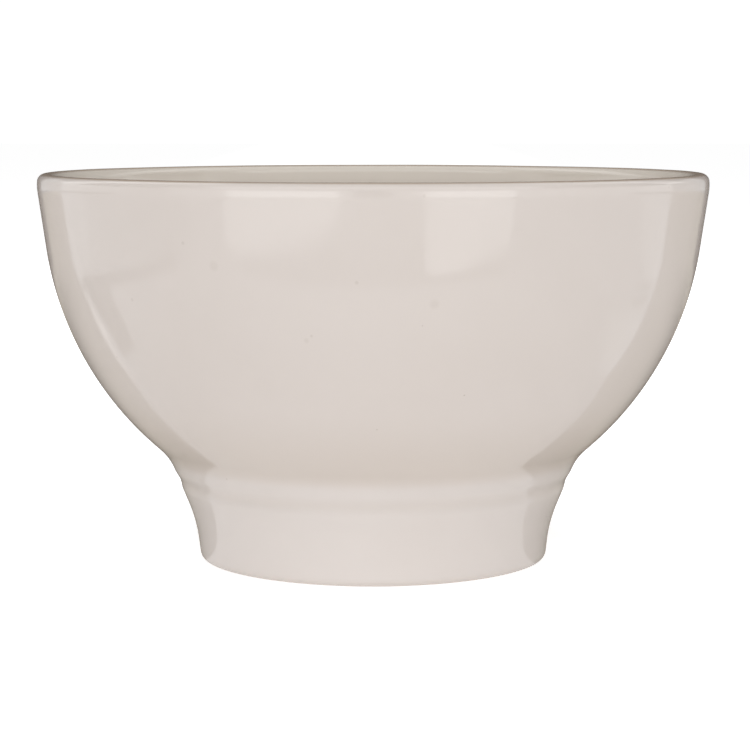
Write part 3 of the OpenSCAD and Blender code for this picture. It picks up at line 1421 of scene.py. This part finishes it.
@dataclass(frozen=True)
class Studio:
    """A pale lit floor in a ring of soft lamps, with props that only the gloss mirrors."""

    floor_size: float = 12.0
    floor_tone: Colour = (0.90, 0.90, 0.90)
    floor_glow: float = 0.03
    sheet_glow: float = 0.13
    sheet_front: Span = (-191 * MM, -189 * MM)
    sheet_side: Span = (330 * MM, 180 * MM)
    sheet_start: Span = (60 * MM, 130 * MM)
    foot_glow: float = 0.24
    foot_centre: Point = (0.0, -40 * MM, 0.0)
    foot_span: Span = (80 * MM, 20 * MM)
    spot_glow: float = 0.1
    spot_centre: Point = (90 * MM, -130 * MM, 0.0)
    spot_span: Span = (90 * MM, 20 * MM)
    near_lift: float = 0.42
    far_lift: float = 0.85
    lift_span: Span = (100 * MM, 600 * MM)
    sky: float = 0.12
    white: float = 1.05
    backdrop: Backdrop = Backdrop()
    lamps: tuple[SoftBox, ...] = (
        SoftBox("front_lamp_left", radians(-37), radians(9), 0.9, (1.06, 0.29), 1.21),
        SoftBox("front_lamp_right", radians(37), radians(9), 0.9, (1.06, 0.29), 1.21),
        SoftBox("upper_lamp_left", radians(-37), radians(28), 0.9, (1.2, 0.29), 0.72),
        SoftBox("upper_lamp_right", radians(37), radians(28), 0.9, (1.2, 0.29), 0.72),
        SoftBox("side_lamp_left", radians(-108), radians(21), 0.9, (0.62, 0.62), 1.02, Reach.MATTE),
        SoftBox("side_lamp_right", radians(108), radians(21), 0.9, (0.62, 0.62), 1.0, Reach.MATTE),
        SoftBox("back_lamp_left", radians(-122), radians(42), 0.88, (0.24, 0.78), 1.3),
        SoftBox("back_lamp_right", radians(122), radians(42), 0.88, (0.24, 0.78), 0.9),
        SoftBox("back_fill", pi, radians(24), 0.9, (0.45, 0.7), 1.2, Reach.MATTE),
        SoftBox("high_lamp", 0.0, radians(50), 0.95, (1.9, 0.4), 1.76),
        SoftBox("top_lamp", 0.0, radians(96), 0.95, (1.9, 1.3), 0.46),
        SoftBox("window_left", radians(-29), radians(4), 0.85, (0.55, 0.34), 1.9, Reach.GLOSS),
        SoftBox("window_right", radians(30.5), radians(4), 0.85, (0.44, 0.34), 1.9, Reach.GLOSS),
        SoftBox("side_window_left", radians(-78), radians(8), 0.9, (0.36, 0.34), 0.85, Reach.GLOSS),
        SoftBox("side_window_right", radians(78), radians(8), 0.9, (0.36, 0.34), 1.0, Reach.GLOSS),
        SoftBox("low_strip_left", radians(-107), radians(9.7), 0.9, (0.585, 0.24), 1.0, Reach.GLOSS),
        SoftBox("low_strip_right", radians(101.8), radians(9.7), 0.9, (0.41, 0.24), 1.06, Reach.GLOSS),
        SoftBox("far_strip_left", radians(-138.5), radians(13.2), 0.95, (0.456, 0.4), 0.45, Reach.GLOSS),
        SoftBox("far_strip_right", radians(133.3), radians(13.2), 0.95, (0.643, 0.4), 0.43, Reach.GLOSS),
    )
    props: tuple[TableProp, ...] = TABLE_PROPS

    def build(self) -> None:
        """Set up the sky, the floor, the props and the lamps."""
        self.build_sky()
        self.build_floor()
        self.backdrop.build()
        for prop in self.props:
            prop.build()
        for lamp in self.lamps:
            lamp.build()

    def build_sky(self) -> None:
        """Make a dim even sky, pure white to the camera."""
        world = bpy.data.worlds.new("studio_sky")
        bpy.context.scene.world = world
        world.use_nodes = True
        bench = Bench(world.node_tree)
        light = self.sky + (self.white - self.sky) * bench.seen()
        sky = bench.wire("ShaderNodeBackground", {}, {"Color": light}, "Background")
        bench.node("ShaderNodeOutputWorld", {}, {"Surface": sky})
        world.cycles.sampling_method = "NONE"

    def build_floor(self) -> None:
        """Lay the floor, a pale panel that is lit from within, and whiter to the camera."""
        bpy.ops.object.select_all(action="DESELECT")
        bpy.ops.mesh.primitive_plane_add(size=self.floor_size, location=ORIGIN)
        floor = bpy.context.active_object
        floor.name = "studio_floor"
        material, bench = new_material("pale_floor")
        paint = bench.wire("ShaderNodeBsdfDiffuse", {}, {"Color": self.floor_tone}, "BSDF")
        glow = bench.wire("ShaderNodeEmission", {}, {"Color": self.floor_light(bench)}, "Emission")
        panel = bench.wire("ShaderNodeAddShader", {}, {"Shader": paint, "Shader_001": glow}, "Shader")
        bench.node("ShaderNodeOutputMaterial", {}, {"Surface": panel})
        material.cycles.emission_sampling = "NONE"
        dress(floor, material)

    def floor_light(self, bench: Bench) -> Wire:
        """Work out the light that the floor gives off.

        Args:
            bench: Bench of the floor's material.

        Returns:
            The light: a faint even glow, more of it round the foot, at a soft spot and over a wide sheet,
            and a lift that only the camera sees.
        """
        place = bench.place()
        away = bench.away(place)
        foot = self.foot_glow * bench.ease(bench.away(place, self.foot_centre), self.foot_span)
        spot = self.spot_glow * bench.ease(bench.away(place, self.spot_centre), self.spot_span)
        front = bench.ease(bench.along(place, "Y"), self.sheet_front)
        wide = bench.ease(abs(bench.along(place, "X")), self.sheet_side)
        sheet = self.sheet_glow * front * wide * bench.ease(away, self.sheet_start)
        lift = self.near_lift + (self.far_lift - self.near_lift) * bench.ease(away, self.lift_span)
        return self.floor_glow + foot + spot + sheet + lift * bench.seen()


@dataclass(frozen=True)
class PhotoCamera:
    """The camera of the photograph, worked out from the bowl's silhouette."""

    place: tuple[float, float, float] = (0.38 * MM, -490 * MM, 94.18 * MM)
    pitch: float = radians(6.517)
    lens: float = 111.8
    sensor: float = 36.0
    clip_start: float = 10 * MM

    def build(self) -> None:
        """Set up the camera and make it the scene's own."""
        bpy.ops.object.camera_add(location=self.place, rotation=(pi / 2 - self.pitch, 0, 0))
        camera = bpy.context.active_object
        camera.name = "photo_camera"
        camera.data.lens = self.lens
        camera.data.sensor_width = self.sensor
        camera.data.clip_start = self.clip_start
        bpy.context.scene.camera = camera
        bpy.context.scene.view_settings.view_transform = "Standard"


def main() -> None:
    """Build the pieces, the studio and the camera in order."""
    logging.basicConfig(level=logging.INFO, format="%(name)s: %(message)s")
    span = CAD_HIGH - CAD_LOW
    form = BowlForm(rim_d=span.x, bowl_h=span.z)
    lathe = Lathe()
    waves = Waves()
    coats = (
        GlazeCoat("glaze_outside", "outer_glaze", form.outer_skin(), form.outer_back(),
                  GlazeFinish("outside_glaze", Side.OUTSIDE, marks=SMALL_MARKS), waves),
        GlazeCoat("glaze_inside", "inner_glaze", form.inner_skin(), form.inner_back(),
                  GlazeFinish("inside_glaze", Side.INSIDE), waves),
        GlazeCoat("glaze_recess", "recess_glaze", form.recess_skin(), form.recess_back(),
                  GlazeFinish("recess_glaze", Side.RECESS), waves),
    )
    for coat in coats:
        piece = coat.build(lathe)
        coat.dress(piece, form)
        log.info("%s: %d faces", piece.name, len(piece.data.polygons))
    foot = Foot()
    ring = foot.build(lathe, form)
    foot.dress(ring)
    log.info("%s: %d faces", ring.name, len(ring.data.polygons))
    Core().dress()
    log.info("bowl_body and joint_slip: CAD nodes with clay")
    Studio().build()
    PhotoCamera().build()


if __name__ == "__main__":
    main()
